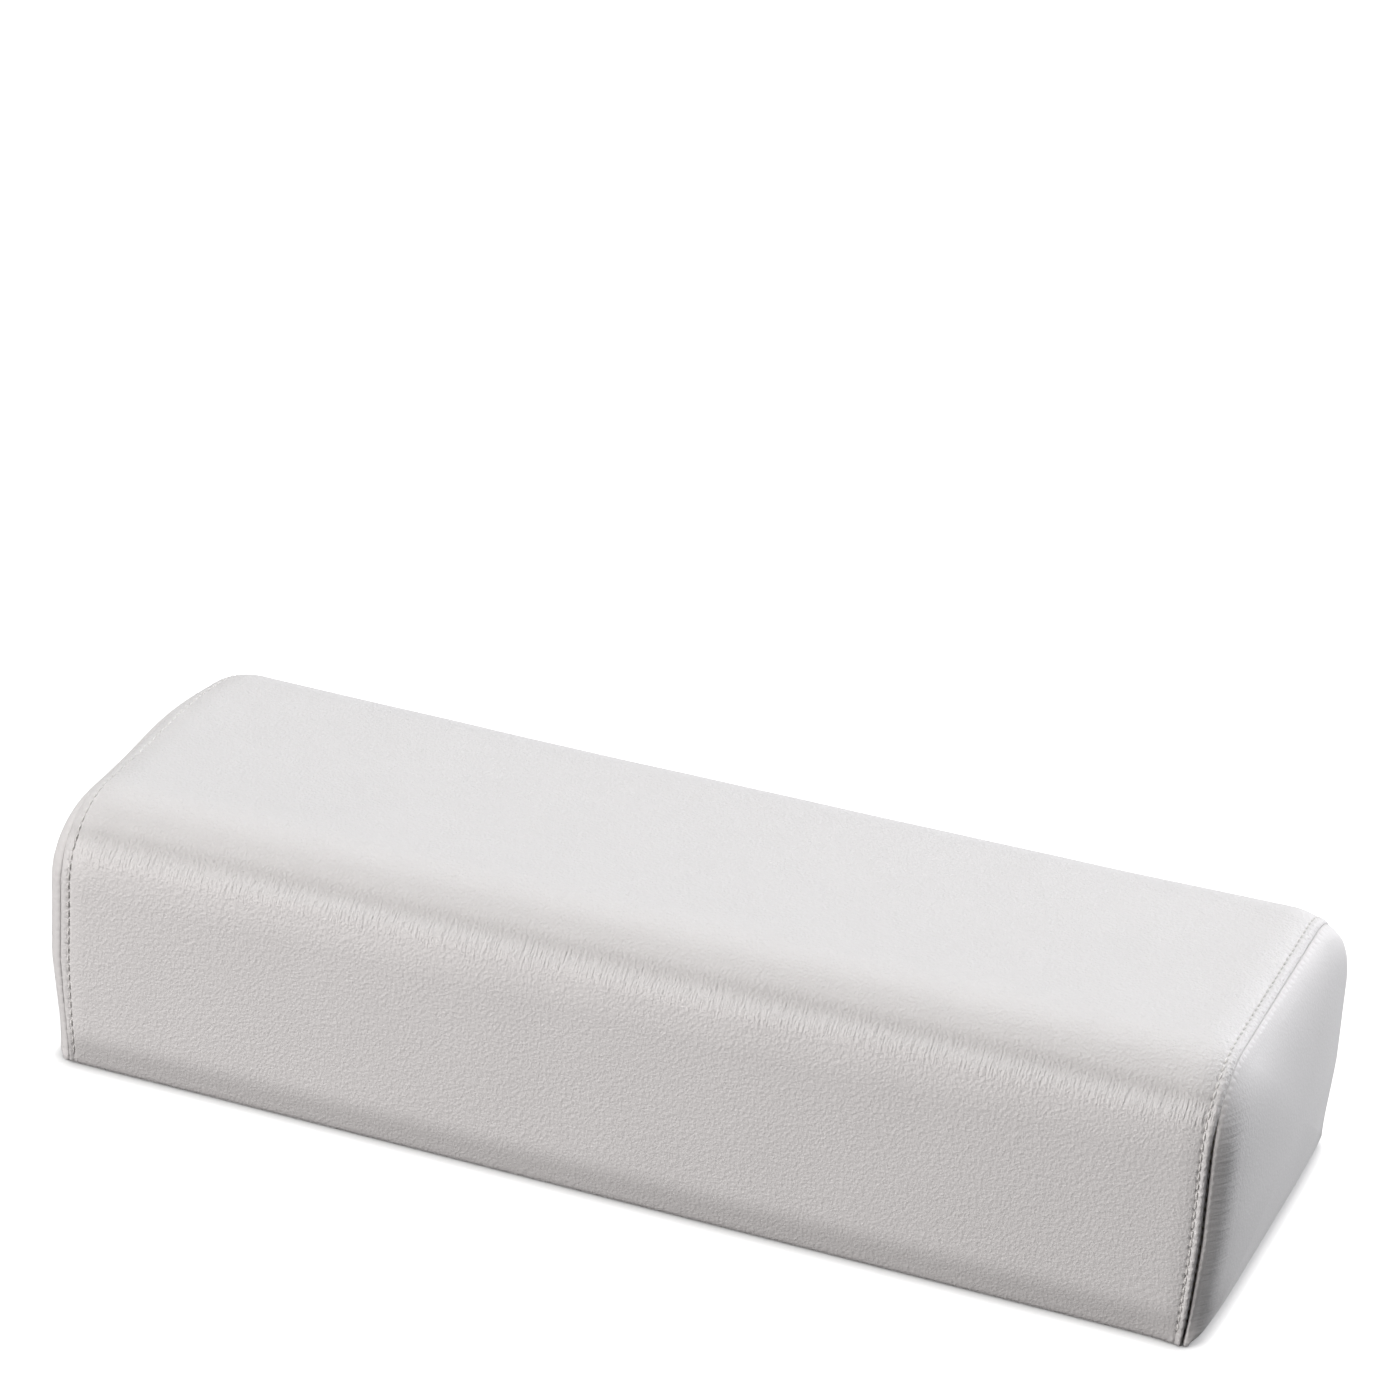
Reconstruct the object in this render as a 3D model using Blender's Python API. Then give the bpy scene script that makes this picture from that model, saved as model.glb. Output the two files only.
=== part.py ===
"""Manicure hand rest: a foam block on a plywood board, in a sewn leatherette cover.

Metres, +Z up. X runs along the rest and the front faces -Y. The origin is the
middle of the underside, on the table. The cover is one wrap over the front, top
and back, and one panel at each end. All of it is folded under the board and
stapled there through a base cloth.
"""

import math

import bmesh
import bpy
from mathutils import Matrix, Vector

# Overall size
LENGTH = 0.350
DEPTH = 0.120
HEIGHT = 0.080

# Long edges of the block, and how the cover turns under the board
TOP_EDGE_RADIUS = 0.024
FOLD_RADIUS = 0.0025
CORNER_FOLD = 0.5
WRAP_TUCK = 0.020
PANEL_TUCK = 0.015
TUCK_SPACING = 0.001

# Rounded ends: how far along the rest the rounding runs, and how far it drops
END_SPAN_TOP = 0.0147
END_DROP_TOP = 0.0107
END_SPAN_SIDE = 0.0128
END_DROP_SIDE = 0.0059
END_TURN = math.radians(65)
END_CROWN = 0.0045
CROWN_BLEND = 4
BOTTOM_LEAN = 0.0053
LEAN_HEIGHT = 0.0287
BOTTOM_EDGE_CROWN = 0.0015

# The sewn seam at each end, measured from the end of the rest
SEAM_INSET = 0.0080
TOPSTITCH_SPACING = 0.0035
RIDGE_HEIGHT = 0.0006
GROOVE_DEPTH = 0.0009
GROOVE_WIDTH = 0.0006
STITCH_DIP = 0.0004

# Thicknesses and fits
COVER_THICKNESS = 0.0012
BASE_CLOTH_THICKNESS = 0.0007
BOARD_THICKNESS = 0.008
FIT_GAP = 0.0003
CORE_FIT = 0.0001
SEAM_ROOM = 0.0007
CHANNEL_DEPTH = 0.0012
CHANNEL_WIDTH = 0.0030

# Base cloth and staples
CLOTH_MARGIN = 0.006
CLOTH_CORNER_RADIUS = 0.008
STAPLE_CROWN = 0.010
STAPLE_LEG = 0.007
STAPLE_WIRE = 0.0005
STAPLE_RECESS = 0.0001
STAPLE_MARGIN = 0.012
STAPLE_END_MARGIN = 0.035
STAPLES_PER_SIDE = 7
STAPLES_PER_END = 2
END_STAPLE_REACH = 0.020

# Mesh fineness: steps along each stretch of the outlines
EDGE_STEPS = 7
WALL_STEPS = 4
TOP_STEPS = 4
FOLD_STEPS = 3
CORNER_STEPS = 6
CAP_RINGS = (0.96, 0.9, 0.8, 0.6, 0.3)
BOTTOM_SHARES = (0.985, 0.955, 0.92, 0.88, 0.5, 0.0, -0.5, -0.88, -0.92, -0.955, -0.985)

# Places worked out from the sizes above
HALF_LENGTH = LENGTH / 2
HALF_DEPTH = DEPTH / 2
END_PLANE = HALF_LENGTH - END_CROWN
SEAM_X = HALF_LENGTH - SEAM_INSET
COVER_BOTTOM = BASE_CLOTH_THICKNESS + FIT_GAP
WALL_BOTTOM = COVER_BOTTOM + FOLD_RADIUS
INNER_OFFSET = COVER_THICKNESS + FIT_GAP
BOARD_BOTTOM = COVER_BOTTOM + INNER_OFFSET
BOARD_TOP = BOARD_BOTTOM + BOARD_THICKNESS
CORE_BOTTOM = BOARD_TOP + FIT_GAP
BOTTOM_HALF_LENGTH = END_PLANE - BOTTOM_LEAN
TUCK_END = BOTTOM_HALF_LENGTH - PANEL_TUCK - TUCK_SPACING
BOARD_OFFSET = INNER_OFFSET + SEAM_ROOM
BOARD_EASING = max(FOLD_RADIUS - BOARD_OFFSET, FIT_GAP)


def clear_scene():
    for obj in list(bpy.data.objects):
        bpy.data.objects.remove(obj, do_unlink=True)


def blend(a, b, share):
    return a + (b - a) * share


def mirrored(point, side):
    return Vector((point.x * side, point.y, point.z))


def no_relief(from_seam):
    return 0.0


def seam_relief(from_seam):
    """Height of the cover at a distance past the seam: stitch line, ridge and groove."""
    groove = -GROOVE_DEPTH * math.exp(-((from_seam / GROOVE_WIDTH) ** 2))
    from_stitch = from_seam + TOPSTITCH_SPACING
    dip = -STITCH_DIP * math.exp(-((from_stitch / GROOVE_WIDTH) ** 2))
    ridge = 0.0
    if -TOPSTITCH_SPACING < from_seam < 0:
        ridge = RIDGE_HEIGHT * math.sin(math.pi * -from_seam / TOPSTITCH_SPACING)
    return groove + dip + ridge


def seam_channel(from_seam):
    """Shallow channel in the foam that takes the turned edges of the seam."""
    return -CHANNEL_DEPTH * math.exp(-((from_seam / CHANNEL_WIDTH) ** 2))


def material(name, colour, roughness, metallic=0.0):
    made = bpy.data.materials.new(name)
    made.use_nodes = True
    shader = made.node_tree.nodes["Principled BSDF"]
    shader.inputs["Base Color"].default_value = (*colour, 1.0)
    shader.inputs["Roughness"].default_value = roughness
    shader.inputs["Metallic"].default_value = metallic
    made.diffuse_color = (*colour, 1.0)
    return made


def add_object(name, bm, mat):
    """Turns a bmesh into a smooth-shaded object, with its faces pointing out."""
    bmesh.ops.recalc_face_normals(bm, faces=bm.faces)
    mesh = bpy.data.meshes.new(name)
    bm.to_mesh(mesh)
    bm.free()
    if mat:
        mesh.materials.append(mat)
    mesh.shade_smooth()
    mesh.set_sharp_from_angle(angle=math.radians(40))
    obj = bpy.data.objects.new(name, mesh)
    bpy.context.scene.collection.objects.link(obj)
    return obj


def bridge(bm, first, second, closed=False):
    """Quads between two rows of vertices."""
    count = len(first) if closed else len(first) - 1
    for i in range(count):
        j = (i + 1) % len(first)
        bm.faces.new((first[i], first[j], second[j], second[i]))


def section(offset=0.0):
    """Front-to-back outline as (y, z, normal y, normal z), moved inwards by offset."""
    half = HALF_DEPTH - offset
    radius = TOP_EDGE_RADIUS - offset
    shoulder = HEIGHT - TOP_EDGE_RADIUS
    front = []
    for i in range(WALL_STEPS):
        front.append((-half, blend(WALL_BOTTOM, shoulder, i / WALL_STEPS), -1.0, 0.0))
    for i in range(EDGE_STEPS + 1):
        turn = math.pi / 2 * i / EDGE_STEPS
        out, up = -math.cos(turn), math.sin(turn)
        front.append((radius - half + radius * out, shoulder + radius * up, out, up))
    top = []
    for i in range(1, TOP_STEPS):
        top.append((blend(radius - half, half - radius, i / TOP_STEPS), HEIGHT - offset, 0.0, 1.0))
    back = [(-y, z, -ny, nz) for y, z, ny, nz in reversed(front)]
    return front + top + back


def folded_section():
    """The cover's outline with its folds and tucks under the board at both ends."""
    front = [(WRAP_TUCK - HALF_DEPTH, COVER_BOTTOM, 0.0, -1.0)]
    for i in range(FOLD_STEPS):
        turn = math.pi / 2 * (1 - i / FOLD_STEPS)
        out, down = math.cos(turn), math.sin(turn)
        y = FOLD_RADIUS * (1 - out) - HALF_DEPTH
        front.append((y, WALL_BOTTOM - FOLD_RADIUS * down, -out, -down))
    back = [(-y, z, -ny, nz) for y, z, ny, nz in reversed(front)]
    return front + section() + back


def end_radii(normal_z, offset):
    """Span and drop of the end rounding, larger over the top than at the sides."""
    share = max(normal_z, 0.0) ** 2
    span = blend(END_SPAN_SIDE, END_SPAN_TOP, share)
    drop = blend(END_DROP_SIDE, END_DROP_TOP, share)
    return span - offset, drop - offset


def x_at_turn(turn, normal_z, offset=0.0):
    span, _ = end_radii(normal_z, offset)
    return END_PLANE - offset - span * (1 - math.sin(turn))


def turn_at_x(x, normal_z, offset=0.0):
    """Angle that the end rounding has reached at distance x from the middle."""
    span, _ = end_radii(normal_z, offset)
    reached = 1 - (END_PLANE - offset - x) / span
    return math.asin(min(max(reached, 0.0), math.sin(END_TURN)))


def lean(z):
    """How far an end is drawn in near the bottom, where the cover is pulled under."""
    return BOTTOM_LEAN * max(0.0, 1 - z / LEAN_HEIGHT) ** 2


def body_point(station, x, offset=0.0, relief=no_relief):
    """Point on the block's face, at a station of the outline and a distance x from the middle."""
    y, z, ny, nz = station
    span, drop = end_radii(nz, offset)
    turn = turn_at_x(abs(x), nz, offset)
    sink = drop * (1 - math.cos(turn))
    if nz >= 0:
        y, z = y - ny * sink, z - nz * sink
    else:
        y -= math.copysign(sink, y)
    lengthwise = drop * math.sin(turn)
    crosswise = span * math.cos(turn)
    out = Vector((lengthwise, crosswise * ny, crosswise * nz)).normalized()
    height = relief(abs(x) - SEAM_X) * (1 + min(nz, 0.0))
    drawn_in = lean(z) * math.sin(turn) / math.sin(END_TURN)
    along = abs(x) - drawn_in + out.x * height
    return Vector((math.copysign(along, x), y + out.y * height, z + out.z * height))


def cap_rim(offset=0.0):
    """Closed rim of an end's flat face as (point, slope): over the top, then back along the bottom."""
    rim = []
    for station in section(offset):
        span, drop = end_radii(station[3], offset)
        slope = span / (drop * math.tan(END_TURN))
        rim.append((body_point(station, x_at_turn(END_TURN, station[3], offset), offset), slope))
    corner, slope = rim[-1]
    power = slope * corner.y / BOTTOM_EDGE_CROWN
    for share in BOTTOM_SHARES:
        x = corner.x + BOTTOM_EDGE_CROWN * (1 - abs(share) ** power)
        rim.append((Vector((x, corner.y * share, corner.z)), slope))
    return rim


def cap_centre(offset=0.0):
    return Vector((HALF_LENGTH - offset, 0.0, HEIGHT / 2))


def cap_point(edge, slope, ring, offset=0.0):
    """Point on the crowned end face; ring is 1 at its rim and 0 at its middle."""
    centre = cap_centre(offset)
    upright_x = edge.x + lean(edge.z)
    rise = centre.x - upright_x
    reach = (abs(edge.y) ** CROWN_BLEND + abs(edge.z - centre.z) ** CROWN_BLEND) ** (1 / CROWN_BLEND)
    power = slope * reach / rise
    z = blend(centre.z, edge.z, ring)
    return Vector((upright_x + rise * (1 - ring**power) - lean(z), edge.y * ring, z))


def fill_cap(bm, rim_verts, side, offset=0.0):
    """Closes an end with rings that rise from its rim to its crowned middle."""
    rim = cap_rim(offset)
    last = rim_verts
    for ring in CAP_RINGS:
        points = [cap_point(edge, slope, ring, offset) for edge, slope in rim]
        row = [bm.verts.new(mirrored(point, side)) for point in points]
        bridge(bm, last, row, closed=True)
        last = row
    tip = bm.verts.new(mirrored(cap_centre(offset), side))
    for i, vert in enumerate(last):
        bm.faces.new((vert, last[(i + 1) % len(last)], tip))


def bottom_verts(bm, side, offset=0.0):
    """New vertices for the straight part of the rim, along the bottom of an end."""
    points = [edge for edge, _ in cap_rim(offset)[-len(BOTTOM_SHARES):]]
    return [bm.verts.new(mirrored(point, side)) for point in points]


def thicken_and_cut(obj, cutter):
    """Gives a sheet its thickness, inwards from its outer face, and cuts the staple holes."""
    solidify = obj.modifiers.new("thickness", "SOLIDIFY")
    solidify.thickness = COVER_THICKNESS
    solidify.offset = -1
    cut_holes(obj, cutter)


def cut_holes(obj, cutter):
    cut = obj.modifiers.new("staple_holes", "BOOLEAN")
    cut.operation = "DIFFERENCE"
    cut.solver = "EXACT"
    cut.object = cutter


def build_wrap(mat, cutter):
    """The long panel over the front, top and back, from seam to seam."""
    stitch = SEAM_X - TOPSTITCH_SPACING
    start = x_at_turn(0.0, 1.0)
    right = [0.0, TUCK_END / 2, TUCK_END, start, blend(start, stitch, 0.6)]
    right += [stitch - GROOVE_WIDTH, stitch, stitch + GROOVE_WIDTH]
    right += [SEAM_X - TOPSTITCH_SPACING / 2, SEAM_X - GROOVE_WIDTH, SEAM_X - FIT_GAP / 2]
    places = [-x for x in reversed(right[1:])] + right
    stations = folded_section()
    bm = bmesh.new()
    rows = []
    for x in places:
        points = [body_point(station, x, relief=seam_relief) for station in stations]
        if abs(x) > TUCK_END:
            points = points[1:-1]
        rows.append([bm.verts.new(point) for point in points])
    for first, second in zip(rows, rows[1:]):
        if len(first) > len(second):
            first = first[1:-1]
        if len(second) > len(first):
            second = second[1:-1]
        bridge(bm, first, second)
    obj = add_object("cover_wrap", bm, mat)
    thicken_and_cut(obj, cutter)


def seam_turns(normal_z):
    """Angles of the end rounding from the seam to the rim of the flat, closer at the seam."""
    first = turn_at_x(SEAM_X + FIT_GAP / 2, normal_z)
    return [blend(first, END_TURN, share) for share in (0.0, 0.15, 0.35, 0.65, 1.0)]


def build_end_panel(name, side, mat, cutter):
    """The panel over one end, from its seam to its crowned face and under the board."""
    bm = bmesh.new()
    columns = []
    for station in section():
        places = [x_at_turn(turn, station[3]) for turn in seam_turns(station[3])]
        points = [body_point(station, x, relief=seam_relief) for x in places]
        columns.append([bm.verts.new(mirrored(point, side)) for point in points])
    for first, second in zip(columns, columns[1:]):
        bridge(bm, first, second)
    bottom = bottom_verts(bm, side)
    fill_cap(bm, [column[-1] for column in columns] + bottom, side)
    fold_under(bm, columns[-1] + bottom + columns[0][::-1], side)
    obj = add_object(name, bm, mat)
    thicken_and_cut(obj, cutter)


def fold_under(bm, edge, side):
    """Folds a panel's bottom edge under the board, less far in at the tight corners."""
    headings = []
    for i in range(len(edge)):
        from_seam = min(i, len(edge) - 1 - i)
        turn = math.pi / 2 * min(from_seam / CORNER_STEPS, 1.0)
        reach = 1 - (1 - CORNER_FOLD) * math.sin(2 * turn)
        across = -math.cos(turn) if i < len(edge) / 2 else math.cos(turn)
        headings.append(Vector((-math.sin(turn) * side, across, 0.0)) * reach)
    last = edge
    for step in range(1, FOLD_STEPS + 1):
        turn = math.pi / 2 * step / FOLD_STEPS
        inwards = FOLD_RADIUS * (1 - math.cos(turn))
        down = Vector((0.0, 0.0, FOLD_RADIUS * math.sin(turn)))
        row = [bm.verts.new(v.co + h * inwards - down) for v, h in zip(edge, headings)]
        bridge(bm, last, row)
        last = row
    folded = last[CORNER_STEPS:-CORNER_STEPS]
    tuck = Vector((-side * (PANEL_TUCK - FOLD_RADIUS), 0.0, 0.0))
    bridge(bm, folded, [bm.verts.new(vert.co + tuck) for vert in folded])


def core_places(normal_z, offset):
    """Distances from the middle of the block to the rim of an end's flat."""
    turns = [END_TURN * share for share in (0.0, 0.3, 0.5, 0.62, 0.74, 0.87, 1.0)]
    right = [x_at_turn(turn, normal_z, offset) for turn in turns]
    right = [0.0, right[0] / 2] + right
    return [-x for x in reversed(right[1:])] + right


def build_core(mat):
    """Foam block inside the cover, cut off level above the board."""
    offset = INNER_OFFSET + CORE_FIT
    bm = bmesh.new()
    columns = []
    for station in section(offset):
        places = core_places(station[3], offset)
        points = [body_point(station, x, offset, seam_channel) for x in places]
        columns.append([bm.verts.new(point) for point in points])
    for first, second in zip(columns, columns[1:]):
        bridge(bm, first, second)
    right = bottom_verts(bm, 1, offset)
    left = bottom_verts(bm, -1, offset)
    fill_cap(bm, [column[-1] for column in columns] + right, 1, offset)
    fill_cap(bm, [column[0] for column in columns] + left, -1, offset)
    everything = bm.verts[:] + bm.edges[:] + bm.faces[:]
    level = Vector((0.0, 0.0, CORE_BOTTOM))
    down = Vector((0.0, 0.0, -1.0))
    bmesh.ops.bisect_plane(bm, geom=everything, plane_co=level, plane_no=down, clear_outer=True)
    bmesh.ops.edgeloop_fill(bm, edges=[edge for edge in bm.edges if edge.is_boundary])
    add_object("foam_core", bm, mat)


def add_prism(bm, outline, height, placement):
    """Closed prism on an outline in its own XY plane, with its far end at +Z."""
    low = [bm.verts.new(placement @ Vector((x, y, 0.0))) for x, y in outline]
    high = [bm.verts.new(placement @ Vector((x, y, height))) for x, y in outline]
    bridge(bm, low, high, closed=True)
    bm.faces.new(low)
    bm.faces.new(high)
    return low


def board_outline():
    """Outline just above the cover's fold, seen from above, with room for the seam's edges."""
    places = core_places(0.0, BOARD_OFFSET)
    front = [body_point(section(BOARD_OFFSET)[0], x, BOARD_OFFSET) for x in places]
    end = [edge for edge, _ in cap_rim(BOARD_OFFSET)[-len(BOTTOM_SHARES):]]
    half = [(p.x, p.y) for p in front] + [(p.x, p.y) for p in reversed(end)]
    return half + [(-x, -y) for x, y in half]


def build_board(mat, cutter):
    """Plywood board inside the cover's fold, with its lower edge eased to clear it."""
    bm = bmesh.new()
    placement = Matrix.Translation((0.0, 0.0, BOARD_BOTTOM))
    low = add_prism(bm, board_outline(), BOARD_THICKNESS, placement)
    edges = [edge for edge in bm.edges if all(vert in low for vert in edge.verts)]
    bmesh.ops.bevel(bm, geom=edges, offset=BOARD_EASING, segments=1, affect="EDGES")
    cut_holes(add_object("base_board", bm, mat), cutter)


def build_base_cloth(mat, cutter):
    """Thin cloth under the board that hides the raw edges of the cover."""
    corner_x = BOTTOM_HALF_LENGTH - CLOTH_MARGIN - CLOTH_CORNER_RADIUS
    corner_y = HALF_DEPTH - CLOTH_MARGIN - CLOTH_CORNER_RADIUS
    outline = []
    for quarter, (side_x, side_y) in enumerate(((1, 1), (-1, 1), (-1, -1), (1, -1))):
        for i in range(CORNER_STEPS + 1):
            turn = math.pi / 2 * (quarter + i / CORNER_STEPS)
            x = side_x * corner_x + CLOTH_CORNER_RADIUS * math.cos(turn)
            outline.append((x, side_y * corner_y + CLOTH_CORNER_RADIUS * math.sin(turn)))
    bm = bmesh.new()
    add_prism(bm, outline, BASE_CLOTH_THICKNESS, Matrix.Identity(4))
    cut_holes(add_object("base_cloth", bm, mat), cutter)


def spread(count, reach):
    """Evenly spaced places from -reach to reach."""
    return [blend(-reach, reach, i / (count - 1)) for i in range(count)]


def staple_places():
    """Name of each staple and where it is driven: along the long sides, then across the ends."""
    places = []
    side_y = HALF_DEPTH - STAPLE_MARGIN
    end_x = BOTTOM_HALF_LENGTH - STAPLE_MARGIN
    along = spread(STAPLES_PER_SIDE, BOTTOM_HALF_LENGTH - STAPLE_END_MARGIN)
    across = spread(STAPLES_PER_END, END_STAPLE_REACH)
    for i, x in enumerate(along, 1):
        places.append((f"staple_front_{i}", x, -side_y, 0.0))
        places.append((f"staple_back_{i}", x, side_y, 0.0))
    for i, y in enumerate(across, 1):
        places.append((f"staple_left_{i}", -end_x, y, math.pi / 2))
        places.append((f"staple_right_{i}", end_x, y, math.pi / 2))
    placed = []
    for name, x, y, turn in places:
        driven = Matrix.Translation((x, y, STAPLE_RECESS)) @ Matrix.Rotation(turn, 4, "Z")
        placed.append((name, driven))
    return placed


def staple_prism(bm, gap, below, placement):
    """Staple with its legs up; gap grows it all round, and below deepens its crown downwards."""
    half = STAPLE_CROWN / 2 + gap
    inner = STAPLE_CROWN / 2 - STAPLE_WIRE - gap
    top = STAPLE_LEG + gap
    bar = STAPLE_WIRE + gap
    right = [(0.0, -below), (half, -below), (half, top), (inner, top), (inner, bar)]
    outline = right + [(-x, y) for x, y in reversed(right[1:])]
    width = STAPLE_WIRE + 2 * gap
    upright = Matrix.Rotation(math.pi / 2, 4, "X") @ Matrix.Translation((0.0, 0.0, -width / 2))
    add_prism(bm, outline, width, placement @ upright)


def build_staples(mat):
    """Staples through the base cloth and the cover into the board."""
    for name, placement in staple_places():
        bm = bmesh.new()
        staple_prism(bm, 0.0, 0.0, placement)
        add_object(name, bm, mat)


def build_staple_cutter():
    """Helper that cuts the staples' holes in what they pass through."""
    bm = bmesh.new()
    for _, placement in staple_places():
        staple_prism(bm, FIT_GAP, 2 * STAPLE_RECESS, placement)
    cutter = add_object("staple_cutter", bm, None)
    cutter.hide_render = True
    cutter.display_type = "WIRE"
    return cutter


def main():
    clear_scene()
    leatherette = material("white_leatherette", (0.80, 0.79, 0.79), 0.42)
    foam = material("foam", (0.86, 0.82, 0.70), 0.95)
    plywood = material("plywood", (0.62, 0.45, 0.27), 0.7)
    cloth = material("black_base_cloth", (0.03, 0.03, 0.035), 0.9)
    steel = material("staple_steel", (0.60, 0.60, 0.60), 0.35, metallic=1.0)
    cutter = build_staple_cutter()
    build_wrap(leatherette, cutter)
    build_end_panel("end_panel_left", -1, leatherette, cutter)
    build_end_panel("end_panel_right", 1, leatherette, cutter)
    build_core(foam)
    build_board(plywood, cutter)
    build_base_cloth(cloth, cutter)
    build_staples(steel)


main()
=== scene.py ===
import math

import bmesh
import bpy
import numpy as np
from mathutils import Matrix, Vector


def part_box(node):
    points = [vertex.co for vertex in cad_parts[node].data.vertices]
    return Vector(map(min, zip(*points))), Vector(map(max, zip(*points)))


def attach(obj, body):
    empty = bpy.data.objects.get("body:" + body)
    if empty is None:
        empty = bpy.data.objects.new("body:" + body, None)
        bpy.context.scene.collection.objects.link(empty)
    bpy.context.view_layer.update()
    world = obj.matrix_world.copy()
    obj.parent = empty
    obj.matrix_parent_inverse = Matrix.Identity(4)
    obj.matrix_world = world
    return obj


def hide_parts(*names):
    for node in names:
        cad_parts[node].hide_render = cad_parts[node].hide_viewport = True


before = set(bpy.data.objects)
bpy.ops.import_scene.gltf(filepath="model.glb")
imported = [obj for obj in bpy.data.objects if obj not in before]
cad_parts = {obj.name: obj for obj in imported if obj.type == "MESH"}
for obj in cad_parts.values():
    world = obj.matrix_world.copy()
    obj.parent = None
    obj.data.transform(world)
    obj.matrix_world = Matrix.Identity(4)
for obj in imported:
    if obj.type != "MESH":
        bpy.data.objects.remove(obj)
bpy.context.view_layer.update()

# Sizes and places of the solids, in metres: X along the rest, front towards -Y
LENGTH = 0.350
DEPTH = 0.120
HEIGHT = 0.080
TOP_EDGE_RADIUS = 0.024
FOLD_RADIUS = 0.0014
CORNER_FOLD = 0.5
WRAP_TUCK = 0.020
CORNER_TUCK = 0.0057
PANEL_TUCK = 0.015
TUCK_SPACING = 0.001
END_SPAN_TOP = 0.0147
END_DROP_TOP = 0.0107
END_SPAN_SIDE = 0.0128
END_DROP_SIDE = 0.0059
END_TURN = math.radians(65)
END_CROWN = 0.0045
CROWN_BLEND = 4
BOARD_LEAN = 0.0053
SEAM_INSET = 0.0090
COVER_THICKNESS = 0.0012
BASE_CLOTH_THICKNESS = 0.0007
BOARD_THICKNESS = 0.008
FIT_GAP = 0.0003
CLOTH_MARGIN = 0.006
CLOTH_CORNER_RADIUS = 0.008

HALF_LENGTH = LENGTH / 2
HALF_DEPTH = DEPTH / 2
END_PLANE = HALF_LENGTH - END_CROWN
SEAM_X = HALF_LENGTH - SEAM_INSET
COVER_BOTTOM = BASE_CLOTH_THICKNESS + FIT_GAP
EDGE_BOTTOM = 0.0001
WALL_BOTTOM = EDGE_BOTTOM + FOLD_RADIUS
CORE_OFFSET = COVER_THICKNESS + 2 * FIT_GAP
CORE_BOTTOM = COVER_BOTTOM + COVER_THICKNESS + FIT_GAP + BOARD_THICKNESS + FIT_GAP
BOTTOM_HALF_LENGTH = END_PLANE - BOARD_LEAN
TUCK_END = BOTTOM_HALF_LENGTH - PANEL_TUCK - TUCK_SPACING
CLOTH_EDGE_SPACING = 0.0005

# Lengths round the outline, from the foot of the front wall
WALL = HEIGHT - TOP_EDGE_RADIUS - WALL_BOTTOM
ARC = math.pi / 2 * TOP_EDGE_RADIUS
GIRTH = 2 * (WALL + ARC) + DEPTH - 2 * TOP_EDGE_RADIUS
FOLD_ARC = math.pi / 2 * FOLD_RADIUS

# Stitching; where the two ends differ, 1 is the right end and -1 the left
STITCHES = 90
PITCH = GIRTH / STITCHES
STEPS_PER_STITCH = 8
COARSE = 4
STITCH_PHASE = {1: 0.0025, -1: 0.0018}
TOPSTITCH_SPACING = {1: 0.0025, -1: 0.0031}
TOPSTITCH_RADIUS = 0.00030
TOPSTITCH_SUNK = 0.00028
SEAM_THREAD_RADIUS = 0.00022
SEAM_THREAD_SUNK = 0.0015
STITCH_START = 0.10
STITCH_SHARE = 0.80
STITCH_ARCH = 0.0004
ARCH_POWER = 0.7
STITCH_MARGIN = 0.001
THREAD_TIP = 0.35
THREAD_SIDES = 8

# Seams: the right one lies open down the walls, the left one is nearly shut and flatter
SEAM_GAP = 0.0005
OPENNESS = {1: 1.0, -1: 0.3}
RAISED = {1: 1.0, -1: 0.6}
SHUT_SLOPE = 0.7
SHUT_SHARE = 0.95
GROOVE_DEPTH = 0.0009
GROOVE_WIDTH = 0.00055
# Painted shade in the groove and the dents: its width beside the groove, the depth at which it is darkest,
# its power, and how much is lost over the top
GROOVE_SHADE_WIDTH = 0.0009
SHADE_DEPTH = 0.0008
SHADE_POWER = 2.2
SHADE_LOST_ON_TOP = 0.9

# The wrap's side of a seam: a row of dents under the topstitching, and a ridge between it and the seam
DENT_WIDTH = 0.00055
DENT_DEPTH = 0.00022
HOLE_DEPTH = 0.00042
DENT_LOST_ON_TOP = 0.75
RIDGE_HEIGHT = 0.0007
RIDGE_POWER = 0.8
RIDGE_LOST_ON_TOP = 0.45
HOLE_PINCH = 0.30
HOLE_PINCH_PLACE = 0.0008
HOLE_PINCH_WIDTH = 0.0007
EDGE_PINCH = 0.35
EDGE_PINCH_PLACE = 0.0006
EDGE_PINCH_WIDTH = 0.0006

# An end panel's side of a seam: a low lip and small dents, with the grain gathered beyond them
LIP_HEIGHT = 0.00010
LIP_PLACE = 0.0014
LIP_WIDTH = 0.0007
SMALL_DENT_DEPTH = 0.00022
SMALL_DENT_PLACE = 0.0010
SMALL_DENT_WIDTH = 0.0005
GATHER_START = 0.001
GATHER_SPAN = 0.002
GATHER_AT_BOTTOM = 0.4
GATHER_RING = 0.84
GATHER_RINGS_SPAN = 0.12

# Top and walls: how far they sag, and how far from the middle and up the wall
TOP_SAG = 0.0008
WALL_SAG = 0.0002
SAG_REACH = 0.155
WALL_SAG_HEIGHT = 0.04

# Slow unevenness all over the cover
BROAD_SWAY = 0.00010
FINE_SWAY = 0.00004

# At the foot the corners are squarer; above the board the foam pushes the walls out
FOOT_HEIGHT = 0.014
FOOT_SQUARE = 0.9
BELLY = 0.0010
BELLY_HEIGHT = 0.013
BELLY_AT_FOOT = 0.2
BELLY_GAIN = 0.7
EAR = 0.0012
EAR_START = 0.150
EAR_SPAN = 0.015

# The ends are crowned, and drawn in near the bottom
BROAD_CROWN = 0.6
BOTTOM_LEAN = {1: 0.0024, -1: 0.0042}
LEAN_HEIGHT = 0.032
LEAN_POWER = 1.15
BOTTOM_EDGE_CROWN = 0.0015
BOTTOM_EDGE_POWER = 4

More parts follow.
